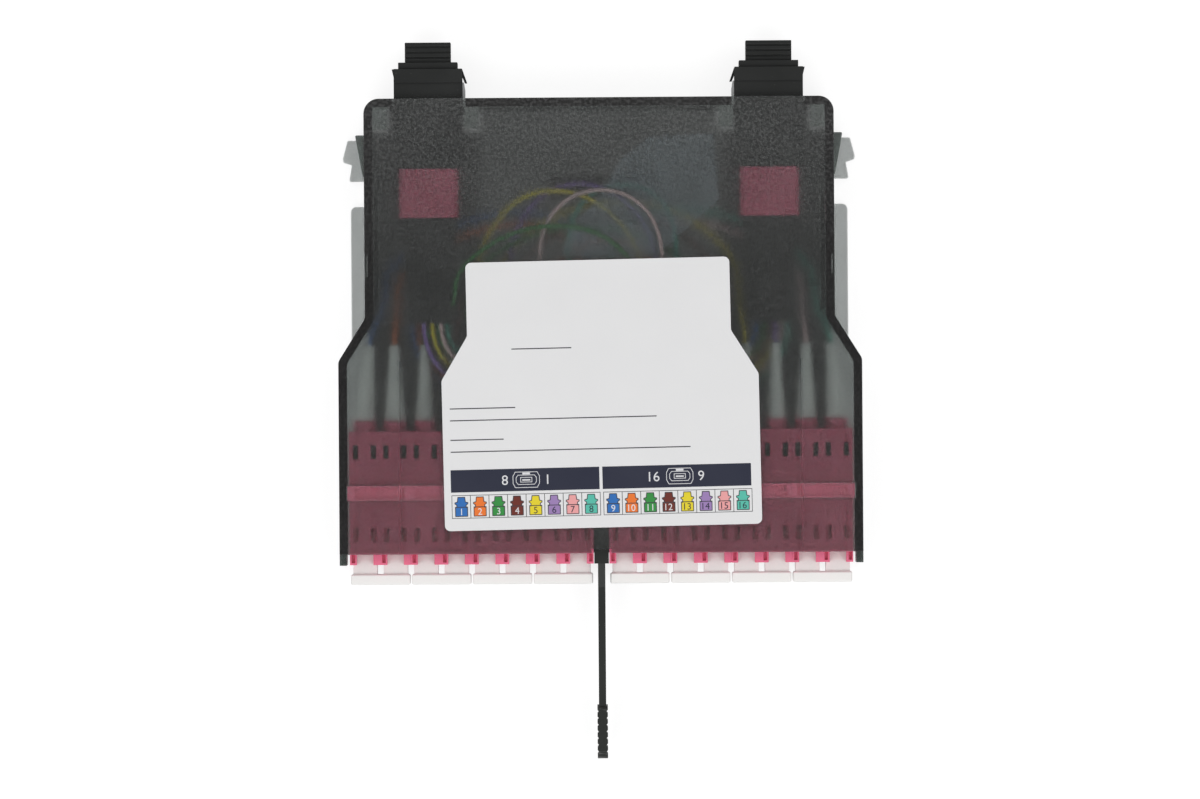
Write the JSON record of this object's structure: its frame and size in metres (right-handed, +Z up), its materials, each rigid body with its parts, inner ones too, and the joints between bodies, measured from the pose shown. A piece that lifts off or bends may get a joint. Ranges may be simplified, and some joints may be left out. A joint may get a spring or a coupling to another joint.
{
  "type": "fibre cassette",
  "caption": "Flat smoked fibre cassette with capped LC ports along the front, MPO ports at the rear, a pull lever and side rails.",
  "frame": {"origin": "centre of the base's underside, halfway between the front edge and the rear wall", "axes": "+X to the right seen from above with the LC ports towards the viewer, +Y to the rear with the MPO ports, +Z up through the cover"},
  "size_m": [0.1102, 0.1511, 0.0121],
  "materials": {
    "smoked_plastic": "smoked translucent, fine grain",
    "magenta_plastic": "satin",
    "white_plastic": "satin",
    "black_plastic": "satin",
    "black_rubber": "matt",
    "black_foam": "matt",
    "spring_steel": "satin",
    "label_film": "smooth film",
    "fibre_blue": "smooth",
    "fibre_orange": "smooth",
    "fibre_green": "smooth",
    "fibre_brown": "smooth",
    "fibre_yellow": "smooth",
    "fibre_violet": "smooth",
    "fibre_rose": "smooth",
    "fibre_aqua": "smooth"
  },
  "bodies": {
    "housing": {"base_shell": "smoked_plastic", "top_cover": "smoked_plastic", "label": "label_film", "lc_adapter_1": "magenta_plastic", "lc_adapter_2": "magenta_plastic", "lc_adapter_3": "magenta_plastic", "lc_adapter_4": "magenta_plastic", "lc_adapter_5": "magenta_plastic", "lc_adapter_6": "magenta_plastic", "lc_adapter_7": "magenta_plastic", "lc_adapter_8": "magenta_plastic", "fibre_pad": "black_foam", "lc_boots_left": "white_plastic", "lc_boots_right": "white_plastic", "lc_connector_1": "magenta_plastic", "lc_connector_2": "magenta_plastic", "lc_connector_3": "magenta_plastic", "lc_connector_4": "magenta_plastic", "lc_connector_5": "magenta_plastic", "lc_connector_6": "magenta_plastic", "lc_connector_7": "magenta_plastic", "lc_connector_8": "magenta_plastic", "lc_connector_9": "magenta_plastic", "lc_connector_10": "magenta_plastic", "lc_connector_11": "magenta_plastic", "lc_connector_12": "magenta_plastic", "lc_connector_13": "magenta_plastic", "lc_connector_14": "magenta_plastic", "lc_connector_15": "magenta_plastic", "lc_connector_16": "magenta_plastic", "mpo_adapter_left": "black_plastic", "mpo_plug_left": "black_plastic", "mpo_sleeve_left": "magenta_plastic", "mpo_boot_left": "black_rubber", "mpo_clip_left": "spring_steel", "mpo_adapter_right": "black_plastic", "mpo_plug_right": "black_plastic", "mpo_sleeve_right": "magenta_plastic", "mpo_boot_right": "black_rubber", "mpo_clip_right": "spring_steel", "fibres_blue": "fibre_blue", "fibres_orange": "fibre_orange", "fibres_green": "fibre_green", "fibres_brown": "fibre_brown", "fibres_yellow": "fibre_yellow", "fibres_violet": "fibre_violet", "fibres_rose": "fibre_rose", "fibres_aqua": "fibre_aqua"},
    "lc_cap_1": {"lc_dust_cap_1": "white_plastic"},
    "lc_cap_2": {"lc_dust_cap_2": "white_plastic"},
    "lc_cap_3": {"lc_dust_cap_3": "white_plastic"},
    "lc_cap_4": {"lc_dust_cap_4": "white_plastic"},
    "lc_cap_5": {"lc_dust_cap_5": "white_plastic"},
    "lc_cap_6": {"lc_dust_cap_6": "white_plastic"},
    "lc_cap_7": {"lc_dust_cap_7": "white_plastic"},
    "lc_cap_8": {"lc_dust_cap_8": "white_plastic"},
    "mpo_cap_left": {"mpo_dust_cap_left": "black_plastic"},
    "mpo_cap_right": {"mpo_dust_cap_right": "black_plastic"},
    "lever": {"pull_lever": "black_plastic"}
  },
  "joints": [
    {"name": "lc_cap_1_pull", "type": "slide", "parent": "housing", "child": "lc_cap_1", "axis": [0, -1, 0], "range_m": [0, 0.008]},
    {"name": "lc_cap_2_pull", "type": "slide", "parent": "housing", "child": "lc_cap_2", "axis": [0, -1, 0], "range_m": [0, 0.008]},
    {"name": "lc_cap_3_pull", "type": "slide", "parent": "housing", "child": "lc_cap_3", "axis": [0, -1, 0], "range_m": [0, 0.008]},
    {"name": "lc_cap_4_pull", "type": "slide", "parent": "housing", "child": "lc_cap_4", "axis": [0, -1, 0], "range_m": [0, 0.008]},
    {"name": "lc_cap_5_pull", "type": "slide", "parent": "housing", "child": "lc_cap_5", "axis": [0, -1, 0], "range_m": [0, 0.008]},
    {"name": "lc_cap_6_pull", "type": "slide", "parent": "housing", "child": "lc_cap_6", "axis": [0, -1, 0], "range_m": [0, 0.008]},
    {"name": "lc_cap_7_pull", "type": "slide", "parent": "housing", "child": "lc_cap_7", "axis": [0, -1, 0], "range_m": [0, 0.008]},
    {"name": "lc_cap_8_pull", "type": "slide", "parent": "housing", "child": "lc_cap_8", "axis": [0, -1, 0], "range_m": [0, 0.008]},
    {"name": "mpo_cap_left_pull", "type": "slide", "parent": "housing", "child": "mpo_cap_left", "axis": [0, 1, 0], "range_m": [0, 0.008]},
    {"name": "mpo_cap_right_pull", "type": "slide", "parent": "housing", "child": "mpo_cap_right", "axis": [0, 1, 0], "range_m": [0, 0.008]},
    {"name": "lever_pull", "type": "slide", "parent": "housing", "child": "lever", "axis": [0, -1, 0], "range_m": [0, 0.003]}
  ]
}
